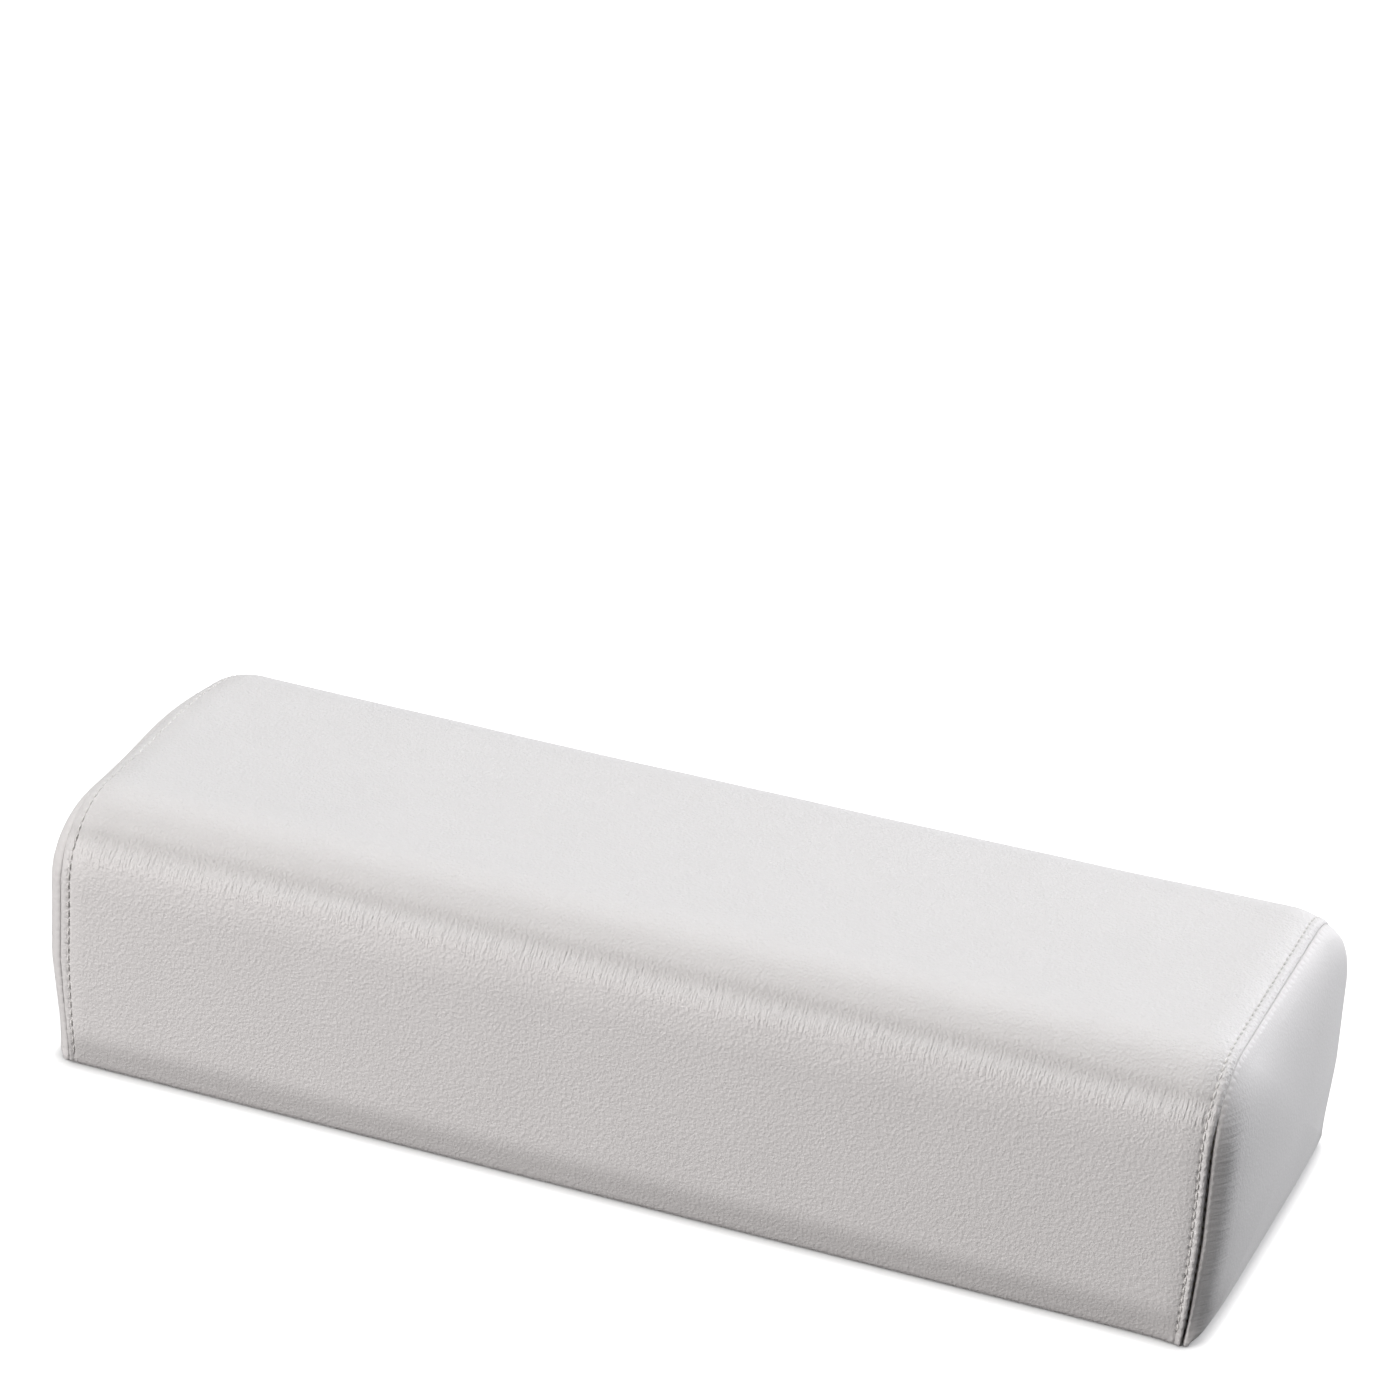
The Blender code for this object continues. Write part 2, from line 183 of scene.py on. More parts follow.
# The ends' back parts stand out further, as in the photo
RIGHT_SKEW = 0.0011
RIGHT_SKEW_BLEND = 0.003
LEFT_SKEW = 0.0022
LEFT_SKEW_Y = 0.020
LEFT_SKEW_WIDTH = 0.030
LEFT_SKEW_START = 0.12
LEFT_SKEW_SPAN = 0.04

# The left end's rounding is fuller over the middle of the top and leaner towards the back
LEFT_PUFF = 0.25
PUFF_Y = 0.010
PUFF_WIDTH = 0.030
DIP_SHARE = 1.4
DIP_Y = 0.050
DIP_WIDTH = 0.018

# Crest along the top edges, where the cover turns over the foam's edge
CREST_TURN = math.radians(23)
VALLEY_TURN = math.radians(35)
CREST_WIDTH = math.radians(6.5)
CREST_HEIGHT = 0.00055
CREST_WANDER = 0.02
CREST_UNEVEN = 0.2
CREST_FADE = 0.012
GATHERED_WIDTH = 1.4 * CREST_WIDTH

# Painted shade over the top edges, each with its turn, width and darkness, and painted shade low on the
# walls
EDGE_SHADES = (
    (math.radians(39), math.radians(6), 0.14),
    (math.radians(53), math.radians(11), 0.07),
    (math.radians(8), math.radians(7), 0.05),
)
LOW_SHADE = 0.23
LOW_SHADE_SPAN = 0.008

# Painted shade near an end panel's bottom corners, wider than it is high
CORNER_SHADE = 0.25
CORNER_SHADE_Y = 0.053
CORNER_SHADE_Z = 0.008
CORNER_SHADE_SIZE = 0.006
CORNER_SHADE_STRETCH = 1.5

# Where the wrap's points lie closer together, next to the seams
FINE_START = 0.1618
FLAT_END = 0.1612

# Rings of an end panel's face and of the foam's end, 1 at the rim and 0 at the middle
CAP_RINGS = (
    0.985, 0.965, 0.94, 0.91, 0.88, 0.84, 0.8, 0.75, 0.7, 0.64, 0.58, 0.5, 0.42, 0.34, 0.25, 0.16, 0.07,
)
FOAM_RINGS = (0.9, 0.75, 0.5, 0.25)

# How far an end panel's tuck reaches in under the board, step by step
TUCK_STEPS =(0.0015, 0.003, 0.0045, 0.006, PANEL_TUCK - FOLD_RADIUS)

# Base cloth: its rise at each staple, and the room left in its thickness for it
CLOTH_DENT = 0.0004
CLOTH_DENT_WIDTH = 0.0016
CLOTH_DENT_ROOM = 0.0002

# Camera fitted to the photo: metres, degrees and millimetres
CAMERA_PLACE = (0.404355, -1.108504, 0.678862)
CAMERA_ANGLES = (20.149, 25.169, 3.464)
CAMERA_LENS = 123.70
SENSOR_WIDTH = 36.0

# Brightness of the world and the floor, and the floor's half size and the reach of its painted contact
# shadow
WORLD_STRENGTH = 0.02
GLOSS_SHARE = 0.5
FLOOR_BOUNCE = 0.1
FLOOR_SHADED = 0.5
FLOOR_GLOW = 0.85
FLOOR_HALF = 4.0
CONTACT_SHADOW = 0.004

# Lamps: name, azimuth, elevation, distance, width, height, power, colour
LAMPS = [
    ("back_right", 135, 35, 2.6, 1.6, 1.2, 25.0, (0.98, 0.96, 1.0)),
    ("back_right_low", 127, 8, 2.6, 1.0, 0.7, 23.0, (0.95, 0.98, 1.0)),
    ("back_right_edge", 155, 20, 2.6, 0.9, 0.7, 9.0, (0.97, 0.98, 1.0)),
    ("behind", 180, 62, 2.6, 1.6, 1.2, 26.5, (0.96, 0.985, 1.0)),
    ("front_left_low", -30, 8, 2.6, 1.0, 0.7, 40.0, (1.0, 0.95, 0.94)),
    ("overhead", 0, 90, 2.6, 2.0, 2.0, 16.0, (1.0, 0.95, 0.92)),
    ("front_left", -45, 35, 2.6, 1.6, 1.2, 15.0, (0.96, 0.99, 0.97)),
]

# This lamp stays out of the gloss, where it would whiten the top seen from the left end
NO_GLOSS = "back_right_low"


def eased(share):
    """Runs from 0 to 1 with the share, but starts and ends level."""
    return share * share * (3 - 2 * share)


def under_rise(tucked):
    """How far the cover under the board rises from its lowest edge, to lie on the base cloth."""
    share = np.clip(tucked / (CLOTH_MARGIN - FOLD_RADIUS - CLOTH_EDGE_SPACING), 0, 1)
    return (COVER_BOTTOM - EDGE_BOTTOM) * eased(share)


def outline(s):
    """Outline across the rest at lengths s from the foot of the front wall: y, z, normal y, normal z.

    Lengths below 0 and past the girth go round the bottom fold and along the tuck.
    """
    s = np.asarray(s, float)
    behind = s > GIRTH / 2
    t = np.where(behind, GIRTH - s, s)
    turn = np.clip((t - WALL) / TOP_EDGE_RADIUS, 0, math.pi / 2)
    fold = np.clip(-t / FOLD_RADIUS, 0, math.pi / 2)
    y = TOP_EDGE_RADIUS * (1 - np.cos(turn)) + np.maximum(t - WALL - ARC, 0) - HALF_DEPTH
    tucked = np.maximum(-t - FOLD_ARC, 0)
    y += FOLD_RADIUS * (1 - np.cos(fold)) + tucked
    z = WALL_BOTTOM + np.clip(t, 0, WALL)
    z += TOP_EDGE_RADIUS * np.sin(turn) - FOLD_RADIUS * np.sin(fold) + under_rise(tucked)
    side = np.where(behind, -1.0, 1.0)
    return y * side, z, -np.cos(turn) * np.cos(fold) * side, np.sin(turn) - np.sin(fold)


def end_radii(nz, offset=0.0):
    """Span and drop of the end rounding, larger over the top than at the sides."""
    share = np.maximum(nz, 0) ** 2
    span = END_SPAN_SIDE + (END_SPAN_TOP - END_SPAN_SIDE) * share
    drop = END_DROP_SIDE + (END_DROP_TOP - END_DROP_SIDE) * share
    return span - offset, drop - offset


def x_at_turn(turn, nz, offset=0.0):
    """Distance from the middle at which an end's rounding has turned so far."""
    return END_PLANE - offset - end_radii(nz, offset)[0] * (1 - np.sin(turn))


def turn_at_x(x, nz, offset=0.0):
    """How far an end's rounding has turned at a distance from the middle."""
    reached = 1 - (END_PLANE - offset - x) / end_radii(nz, offset)[0]
    return np.arcsin(np.clip(reached, 0, math.sin(END_TURN)))


def lean(z, x):
    """How far the end on x's side is drawn in near the bottom, where the cover is pulled under."""
    most = np.where(np.asarray(x) < 0, BOTTOM_LEAN[-1], BOTTOM_LEAN[1])
    return most * np.maximum(0, 1 - z / LEAN_HEIGHT) ** LEAN_POWER


def foot(z):
    """1 at the bottom edge, falling to 0 a little way up."""
    return np.clip(1 - z / FOOT_HEIGHT, 0, 1) ** 2


def crest(s, x):
    """Raised line along the front and back top edges, with a shallow valley above it."""
    turn = edge_turn(s) + CREST_WANDER * np.sin(38 * x + 1.0)
    line = bump(turn - CREST_TURN, CREST_WIDTH) - bump(turn - VALLEY_TURN, CREST_WIDTH)
    uneven = 1 + CREST_UNEVEN * np.sin(95 * x + 0.6) * np.sin(41 * x + 2.0)
    return CREST_HEIGHT * line * uneven * np.clip((SEAM_X - np.abs(x)) / CREST_FADE, 0, 1)


def edge_turn(s):
    """How far the outline has turned over the nearer top edge; below 0 on the wall."""
    return (np.minimum(s, GIRTH - s) - WALL) / TOP_EDGE_RADIUS


def soft_shade(s):
    """Painted shade: slight darkening over the top edges, most in the valley, and low on the walls."""
    turn = edge_turn(s)
    low = np.clip((BELLY_HEIGHT - WALL_BOTTOM - np.minimum(s, GIRTH - s)) / LOW_SHADE_SPAN, 0, 1)
    shade = LOW_SHADE * eased(low)
    for middle, width, darkness in EDGE_SHADES:
        shade = shade + darkness * bump(turn - middle, width)
    return shade


def openness(s, side):
    """The seam is open down the walls, and drawn shut over the top."""
    shut = np.clip(outline(s)[3] / SHUT_SLOPE, 0, 1)
    return OPENNESS[side] * (1 - SHUT_SHARE * eased(shut))


def seam_gap(s, side):
    """How far the two edges stand apart."""
    return SEAM_GAP * openness(s, side)


def sway(s, x):
    """Slow unevenness of the cover over the foam."""
    first = np.sin(61 * x + 23 * s + 0.7) * np.sin(47 * s - 19 * x + 1.9)
    second = np.sin(133 * x - 71 * s + 2.3) * np.sin(95 * s + 37 * x + 0.4)
    return BROAD_SWAY * first + FINE_SWAY * second


def crest_grain(s):
    """Where the cover's grain is gathered along the top edges."""
    return bump(edge_turn(s) - (CREST_TURN + VALLEY_TURN) / 2, GATHERED_WIDTH)


def left_puff(x, y, up):
    """Share by which the left end's rounding drops less over the middle of the top, and more at the back."""
    fuller = bump(y - PUFF_Y, PUFF_WIDTH) - DIP_SHARE * bump(y - DIP_Y, DIP_WIDTH)
    return np.where(x < 0, LEFT_PUFF * up * fuller, 0.0)


def body_points(s, x, height=0.0, offset=0.0):
    """Points on the block's face at outline lengths s and distances x, raised by height."""
    y, z, ny, nz = outline(s)
    y, z = y - ny * offset, z - nz * offset
    span, drop = end_radii(nz, offset)
    turn = turn_at_x(np.abs(x), nz, offset)
    up = np.maximum(nz, 0)
    middle = np.clip(1 - (x / SAG_REACH) ** 2, 0, 1)
    wall = np.clip(z / WALL_SAG_HEIGHT, 0, 1) * (1 - up)
    stands_out = np.where(x < 0, bump(y - LEFT_SKEW_Y, LEFT_SKEW_WIDTH), 0.0)
    sink = drop * (1 - np.cos(turn)) * (1 - FOOT_SQUARE * foot(z)) * (1 - left_puff(x, y, up))
    risen = eased(np.clip(z / BELLY_HEIGHT, 0, 1))
    sink = sink - BELLY * (BELLY_AT_FOOT + BELLY_GAIN * risen) * (1 - up)
    sink = sink - EAR * foot(z) * np.clip((x - EAR_START) / EAR_SPAN, 0, 1) ** 2
    sag = middle * (TOP_SAG * up + WALL_SAG * wall)
    level = nz < 0
    y = np.where(level, y - np.sign(y) * sink, y - ny * (sink + sag))
    z = np.where(level, z, z - nz * (sink + sag))
    out = np.stack([drop * np.sin(turn), span * np.cos(turn) * ny, span * np.cos(turn) * nz], -1)
    out /= np.linalg.norm(out, axis=-1, keepdims=True)
    height = height * (1 + np.minimum(nz, 0))
    along = np.abs(x) - lean(z, x) * np.sin(turn) / math.sin(END_TURN) + out[..., 0] * height
    near_end = np.clip((np.abs(x) - LEFT_SKEW_START) / LEFT_SKEW_SPAN, 0, 1)
    along = along + LEFT_SKEW * stands_out * eased(near_end)
    along = along + RIGHT_SKEW * y / HALF_DEPTH * np.clip((x - SEAM_X) / RIGHT_SKEW_BLEND, 0, 1)
    along = along * np.where(x < 0, -1, 1)
    return np.stack([along, y + out[..., 1] * height, z + out[..., 2] * height], -1)


def from_hole(s, side):
    """Distance from the nearest needle hole along the seam."""
    share = (s - STITCH_PHASE[side]) / PITCH
    return np.abs((share + 0.5) % 1 - 0.5) * PITCH


def bump(distance, width):
    """1 at no distance, falling smoothly to almost 0 at twice the width."""
    return np.exp(-((distance / width) ** 2))


def groove_depth(s, side):
    """Depth of the groove along the seam."""
    return GROOVE_DEPTH * openness(s, side)


def wrap_height(s, d, side):
    """Height of the wrap at a distance d past the seam: topstitch dents, ridge and groove."""
    hole = bump(from_hole(s, side), DENT_WIDTH)
    between = bump(from_hole(s + PITCH / 2, side), EDGE_PINCH_WIDTH)
    from_row = d + TOPSTITCH_SPACING[side]
    up = np.clip(outline(s)[3], 0, 1)
    dent = -(DENT_DEPTH + HOLE_DEPTH * hole) * bump(from_row, DENT_WIDTH) * (1 - DENT_LOST_ON_TOP * up)
    share = np.clip(-d / TOPSTITCH_SPACING[side], 0, 1)
    pinch = 1 - HOLE_PINCH * hole * bump(from_row - HOLE_PINCH_PLACE, HOLE_PINCH_WIDTH)
    pinch = pinch - EDGE_PINCH * between * bump(d + EDGE_PINCH_PLACE, EDGE_PINCH_WIDTH)
    ridge = RIDGE_HEIGHT * np.sin(math.pi * share) ** RIDGE_POWER * pinch * (1 - RIDGE_LOST_ON_TOP * up)
    return RAISED[side] * (dent + ridge) - groove_depth(s, side) * bump(d, GROOVE_WIDTH)


def panel_height(s, d, side):
    """Height of an end panel at a distance d past the seam."""
    hole = bump(from_hole(s, side), SMALL_DENT_WIDTH)
    lip = LIP_HEIGHT * bump(d - LIP_PLACE, LIP_WIDTH)
    dent = -SMALL_DENT_DEPTH * hole * bump(d - SMALL_DENT_PLACE, SMALL_DENT_WIDTH)
    return lip + dent - groove_depth(s, side) * bump(d, GROOVE_WIDTH)


class Skin:
    """Points and faces of one mesh, made row by row; each point keeps a painted shade and a pucker."""

    def __init__(self):
        self.points, self.faces = [], []
        self.marks = {"painted_shade": [], "pucker": []}

    def row(self, points, painted_shade=0.0, pucker=0.0):
        first = len(self.points)
        self.points.extend(points)
        for name, values in (("painted_shade", painted_shade), ("pucker", pucker)):
            self.marks[name].extend(np.broadcast_to(values, len(points)))
        return list(range(first, len(self.points)))

    def join(self, a, b, closed=False):
        """Quads between two rows; where one row is finer, faces with several edges on that side."""
        if len(a) > len(b):
            a, b = b, a
        step = (len(b) - (0 if closed else 1)) // (len(a) - (0 if closed else 1))
        for i in range(len(a) if closed else len(a) - 1):
            near = [a[(i + 1) % len(a)], a[i]]
            far = [b[(i * step + k) % len(b)] for k in range(step + 1)]
            self.faces.append(near + far)

    def make(self, name, material, thickness=0.0):
        mesh = bpy.data.meshes.new(name)
        mesh.from_pydata([tuple(p) for p in self.points], [], self.faces)
        for mark, values in self.marks.items():
            attribute = mesh.attributes.new(mark, "FLOAT", "POINT")
            attribute.data.foreach_set("value", np.asarray(values, "f"))
        bm = bmesh.new()
        bm.from_mesh(mesh)
        bmesh.ops.recalc_face_normals(bm, faces=bm.faces)
        bm.to_mesh(mesh)
        bm.free()
        mesh.shade_smooth()
        mesh.materials.append(material)
        obj = bpy.data.objects.new(name, mesh)
        bpy.context.scene.collection.objects.link(obj)
        if thickness:
            solid = obj.modifiers.new("thickness", "SOLIDIFY")
            solid.thickness = thickness
            solid.offset = -1
        return obj


def crease_shade(height, s, side):
    """Painted shade in the dents and the groove, deepest in the open groove down the walls."""
    up = np.clip(outline(s)[3], 0, 1)
    deep = np.clip(-height / SHADE_DEPTH, 0, 1) ** SHADE_POWER
    return RAISED[side] * deep * (1 - SHADE_LOST_ON_TOP * up)


def corner_shade(points):
    """Painted shade near an end panel's two bottom corners."""
    across = (CORNER_SHADE_Y - np.abs(points[:, 1])) / CORNER_SHADE_STRETCH
    return CORNER_SHADE * bump(np.hypot(across, points[:, 2] - CORNER_SHADE_Z), CORNER_SHADE_SIZE)


def placed(obj, node):
    """The piece rides with the rest and stands for that node, if any, which is hidden."""
    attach(obj, "root")
    if node:
        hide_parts(node)
    return obj


def wrap_lengths():
    """Outline lengths of the wrap's points: tuck, fold, walls and top, fold, tuck."""
    fold = np.linspace(-FOLD_ARC, 0, 2 * COARSE + 1)
    tuck = np.linspace(FOLD_RADIUS - WRAP_TUCK - FOLD_ARC, -FOLD_ARC, 2 * COARSE + 1)
    body = np.linspace(0, GIRTH, STITCHES * STEPS_PER_STITCH + 1)
    turned = np.concatenate([tuck[:-1], fold[:-1]])
    return np.concatenate([turned, body, GIRTH - turned[::-1]])


def tuck_lengths(s, x):
    """Shortens the wrap's tuck near the ends, where the end panels are tucked in."""
    share = np.clip((abs(x) - TUCK_END + TUCK_SPACING) / TUCK_SPACING, 0, 1)
    keep = 1 + (CORNER_TUCK / WRAP_TUCK - 1) * share
    under = np.minimum(s, GIRTH - s)
    tucked = -FOLD_ARC + (under + FOLD_ARC) * keep
    shorter = np.where(under < -FOLD_ARC, tucked, under)
    return np.where(s > GIRTH / 2, GIRTH - shorter, shorter)


def make_wrap(material):
    """The long panel over front, top and back; only its strips along the seams have every point."""
    skin = Skin()
    flat = list(np.linspace(0, TUCK_END - TUCK_SPACING, 30))
    flat += list(np.linspace(TUCK_END, FLAT_END, 12))
    strip = list(np.linspace(FINE_START, SEAM_X, 21))
    right = [(x, COARSE) for x in flat] + [(x, 1) for x in strip]
    places = [(-x, step) for x, step in reversed(right[1:])] + right
    lengths = wrap_lengths()
    rows = []
    for x, step in places:
        s = lengths[::step]
        side = 1 if x > 0 else -1
        height = 0.0
        # Painted shade over the top edges and low on the walls, and in the seam strips also in the dents and
        # the groove
        shade = soft_shade(s)
        if step == 1:
            share = (abs(x) - strip[0]) / (strip[-1] - strip[0])
            x = x - side * share * seam_gap(s, side) / 2
            height = wrap_height(s, np.abs(x) - SEAM_X, side)
            shade = np.maximum(shade, crease_shade(height, s, side))
        s = tuck_lengths(s, x)
        points = body_points(s, x, height + sway(s, x) + crest(s, x))
        rows.append(skin.row(points, shade, crest_grain(s)))
    for a, b in zip(rows, rows[1:]):
        skin.join(a, b)
    obj = skin.make("leatherette_wrap", material, COVER_THICKNESS)
    return placed(obj, "cover_wrap")


def make_panel(name, node, side, material):
    """An end panel: rows from the seam round the end's rounding, rings over its face, and the tuck."""
    skin = Skin()
    fine = np.linspace(0, GIRTH, STITCHES * STEPS_PER_STITCH + 1)
    nz = outline(fine)[3]
    half_gap = seam_gap(fine, side) / 2
    seam_turn = turn_at_x(SEAM_X + half_gap, nz)
    rows = []
    for share in np.linspace(0, 1, 9):
        turn = seam_turn + (END_TURN - seam_turn) * share
        x = x_at_turn(turn, nz)
        span, drop = end_radii(nz)
        middle_turn = (seam_turn + turn) / 2
        swept = np.hypot(span * np.cos(middle_turn), drop * np.sin(middle_turn))
        past_seam = half_gap + swept * (turn - seam_turn)
        height = panel_height(fine, past_seam, side)
        points = body_points(fine, x * side, height + sway(fine, x * side))
        gathered = np.clip((past_seam - GATHER_START) / GATHER_SPAN, 0, 1) * (1 - np.clip(nz, 0, 1))
        # Painted shade on the panel's side of the open groove, where it rises out of it
        painted_groove_shade = openness(fine, side) * bump(past_seam, GROOVE_SHADE_WIDTH)
        shade = np.maximum(crease_shade(height, fine, side), painted_groove_shade)
        rows.append(skin.row(points, shade, gathered))
    for a, b in zip(rows, rows[1:]):
        skin.join(a, b)

    coarse = fine[::COARSE]
    nz = outline(coarse)[3]
    span, drop = end_radii(nz)
    slope = span / (drop * math.tan(END_TURN))
    rim = body_points(coarse, x_at_turn(END_TURN, nz) * side) * (side, 1, 1)
    corner = rim[-1]
    shares = bottom_shares()
    bulge = BOTTOM_EDGE_CROWN * (1 - np.abs(shares) ** BOTTOM_EDGE_POWER)
    bottom_x = (rim[0][0] + corner[0]) / 2 + (corner[0] - rim[0][0]) / 2 * shares + bulge
    bottom = np.stack([bottom_x, corner[1] * shares, np.full(len(shares), corner[2])], -1)
    edge = np.concatenate([rim, bottom])
    slope = np.concatenate([slope, np.full(len(shares), slope[-1])])
    under = skin.row(bottom * (side, 1, 1))
    strip = rows[-1]
    upright = np.concatenate([1 - np.clip(nz, 0, 1), np.full(len(shares), GATHER_AT_BOTTOM)])
    last = None
    for ring in CAP_RINGS:
        gathered = upright * np.clip((ring - GATHER_RING) / GATHER_RINGS_SPAN, 0, 1)
        points = cap_points(edge, slope, ring, side)
        row = skin.row(points * (side, 1, 1), corner_shade(points), gathered)
        if last:
            skin.join(last, row, closed=True)
        else:
            count = len(coarse)
            skin.join(row[:count], strip)
            skin.join([row[count - 1]] + row[count:] + [row[0]], [strip[-1]] + under + [strip[0]])
        last = row
    tip = skin.row([(side * HALF_LENGTH, 0.0, HEIGHT / 2)])[0]
    for i, vert in enumerate(last):
        skin.faces.append([vert, last[(i + 1) % len(last)], tip])

    back = [row[-1] for row in rows]
    front = [row[0] for row in rows]
    fold_under(skin, back + under + front[::-1], len(back), side)
    obj = skin.make(name, material, COVER_THICKNESS)
    return placed(obj, node)


def bottom_shares():
    """Places along an end's bottom edge, from one corner to the other, closer at the corners."""
    near = np.array([0.985, 0.97, 0.955, 0.935, 0.915, 0.89, 0.86, 0.8, 0.7, 0.55, 0.4, 0.2])
    return np.concatenate([near, [0.0], -near[::-1]])


def cap_points(edge, slope, ring, side):
    """Points on an end's crowned face; ring is 1 at its rim and 0 at its middle."""
    upright_x = edge[:, 0] + lean(edge[:, 2], side)
    rise = HALF_LENGTH - upright_x
    up = edge[:, 2] - HEIGHT / 2
    reach = (np.abs(edge[:, 1]) ** CROWN_BLEND + np.abs(up) ** CROWN_BLEND) ** (1 / CROWN_BLEND)
    power = (slope * reach / rise - 2 * BROAD_CROWN) / (1 - BROAD_CROWN)
    z = HEIGHT / 2 + up * ring
    crown = (1 - BROAD_CROWN) * (1 - ring**power) + BROAD_CROWN * (1 - ring**2)
    x = upright_x + rise * crown - lean(z, side)
    return np.stack([x, edge[:, 1] * ring, z], -1)


def fold_under(skin, edge, corner_steps, side):
    """Folds a panel's bottom edge under the board, less far in at the tight corners."""
    start = np.array([skin.points[i] for i in edge])
    count = len(edge)
    from_seam = np.minimum(np.arange(count), count - 1 - np.arange(count))
    steps = corner_steps + 2
    turn = math.pi / 2 * np.minimum(from_seam / steps, 1.0)
    reach = 1 - (1 - CORNER_FOLD) * np.sin(2 * turn)
    across = np.where(np.arange(count) < count / 2, -np.cos(turn), np.cos(turn))
    heading = np.stack([-np.sin(turn) * side, across, np.zeros(count)], -1) * reach[:, None]
    last = edge
    for angle in np.linspace(0, math.pi / 2, 7)[1:]:
        inwards = FOLD_RADIUS * (1 - math.cos(angle))
        down = np.array([0.0, 0.0, FOLD_RADIUS * math.sin(angle)])
        row = skin.row(start + heading * inwards - down)
        skin.join(last, row)
        last = row
    last = last[steps:-steps]
    folded = [skin.points[i] for i in last]
    for inwards in TUCK_STEPS:
        tuck = np.array([-side * inwards, 0.0, under_rise(inwards)])
        row = skin.row([point + tuck for point in folded])
        skin.join(last, row)
        last = row


def make_foam(material):
    """Foam block inside the cover, cut off level above the board."""
    skin = Skin()
    s = np.linspace(0, GIRTH, 121)
    nz = outline(s)[3]
    turns = np.linspace(0, END_TURN, 9)
    flats = np.linspace(0, 1, 12)[:-1]
    inner = x_at_turn(0.0, nz, CORE_OFFSET)
    right = [inner * share for share in flats]
    right += [x_at_turn(turn, nz, CORE_OFFSET) for turn in turns]
    columns = [-x for x in reversed(right[1:])] + right
    rows = [skin.row(body_points(s, x, 0.0, CORE_OFFSET)) for x in columns]
    for a, b in zip(rows, rows[1:]):
        skin.join(a, b)
    for row, side in ((rows[0], -1), (rows[-1], 1)):
        rim = np.array([skin.points[i] for i in row]) * (side, 1, 1)
        last = row
        for ring in FOAM_RINGS:
            points = rim * (1, ring, 1)
            points[:, 2] = HEIGHT / 2 + (rim[:, 2] - HEIGHT / 2) * ring
            points[:, 0] = rim[:, 0] + (HALF_LENGTH - CORE_OFFSET - rim[:, 0]) * (1 - ring**2)
            row = skin.row(points * (side, 1, 1))
            skin.join(last, row)
            skin.faces.append([last[0], last[-1], row[-1], row[0]])
            last = row
        skin.faces.append(list(last))
    obj = skin.make("foam_block", material)
    bm = bmesh.new()
    bm.from_mesh(obj.data)
    everything = bm.verts[:] + bm.edges[:] + bm.faces[:]
    level = Vector((0.0, 0.0, CORE_BOTTOM))
    down = Vector((0.0, 0.0, -1.0))
    bmesh.ops.bisect_plane(bm, geom=everything, plane_co=level, plane_no=down, clear_outer=True)
    bmesh.ops.edgeloop_fill(bm, edges=[edge for edge in bm.edges if edge.is_boundary])
    bmesh.ops.recalc_face_normals(bm, faces=bm.faces)
    bm.to_mesh(obj.data)
    bm.free()
    return placed(obj, "foam_core")


def make_stitches(name, side, past_seam, radius, sunk, material):
    """A row of thread stitches, each a short arched strand between two needle holes."""
    skin = Skin()
    rounds = np.linspace(0, 2 * math.pi, THREAD_SIDES, endpoint=False)
    share = np.linspace(0, 1, 9)
    arch = np.sin(math.pi * share)
    x = np.full(len(share), side * (SEAM_X + past_seam))
    for k in range(STITCHES - 1):
        start = STITCH_PHASE[side] + k * PITCH
        s = start + PITCH * (STITCH_START + STITCH_SHARE * share)
        if s[-1] > GIRTH - STITCH_MARGIN or s[0] < STITCH_MARGIN:
            continue
        line = body_points(s, x, -sunk + STITCH_ARCH * arch**ARCH_POWER)
        up = body_points(s, x, 0.001) - body_points(s, x)
        up /= np.linalg.norm(up, axis=1, keepdims=True)
        ahead = np.gradient(line, axis=0)
        ahead /= np.linalg.norm(ahead, axis=1, keepdims=True)
        across = np.cross(ahead, up)
        up = np.cross(across, ahead)
        radii = radius * (THREAD_TIP + (1 - THREAD_TIP) * np.sqrt(arch))
        last = None
        for i in range(len(s)):
            circle = np.outer(np.cos(rounds), across[i]) + np.outer(np.sin(rounds), up[i])
            row = skin.row(line[i] + circle * radii[i])
            if last:
                skin.join(last, row, closed=True)
            else:
                skin.faces.append(list(row))
            last = row
        skin.faces.append(list(last))
    return placed(skin.make(name, material), None)


def staple_spots():
    """Middle and half-size of each staple's crown, from its solid."""
    spots = []
    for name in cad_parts:
        if name.startswith("staple_"):
            low, high = (np.array(corner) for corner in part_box(name))
            spots.append(((low + high) / 2, (high - low) / 2))
    return spots


def make_base_cloth(material):
    """Non-woven cloth under the board, drawn in where each staple holds it."""
    half_x = BOTTOM_HALF_LENGTH - CLOTH_MARGIN
    half_y = HALF_DEPTH - CLOTH_MARGIN
    across = np.linspace(-1, 1, 65)
    skin = Skin()
    rows = []
    spots = staple_spots()
    for share in np.sin(np.linspace(-math.pi / 2, math.pi / 2, 181)):
        x = half_x * share
        from_end = half_x - abs(x)
        inset = 0.0
        if from_end < CLOTH_CORNER_RADIUS:
            rise = CLOTH_CORNER_RADIUS - from_end
            inset = CLOTH_CORNER_RADIUS - math.sqrt(CLOTH_CORNER_RADIUS**2 - rise**2)
        y = across * (half_y - inset)
        z = np.zeros(len(y))
        for centre, half in spots:
            beside = np.maximum(np.abs(x - centre[0]) - half[0], 0)
            before = np.maximum(np.abs(y - centre[1]) - half[1], 0)
            z = np.maximum(z, CLOTH_DENT * bump(np.hypot(beside, before), CLOTH_DENT_WIDTH))
        rows.append(skin.row(np.stack([np.full(len(y), x), y, z], -1)))
    for a, b in zip(rows, rows[1:]):
        skin.join(a, b)
    obj = skin.make("base_cloth_sheet", material)
    if obj.data.polygons[0].normal.z > 0:
        obj.data.flip_normals()
    solid = obj.modifiers.new("thickness", "SOLIDIFY")
    solid.thickness = BASE_CLOTH_THICKNESS - CLOTH_DENT_ROOM
    solid.offset = -1
    return placed(obj, "base_cloth")


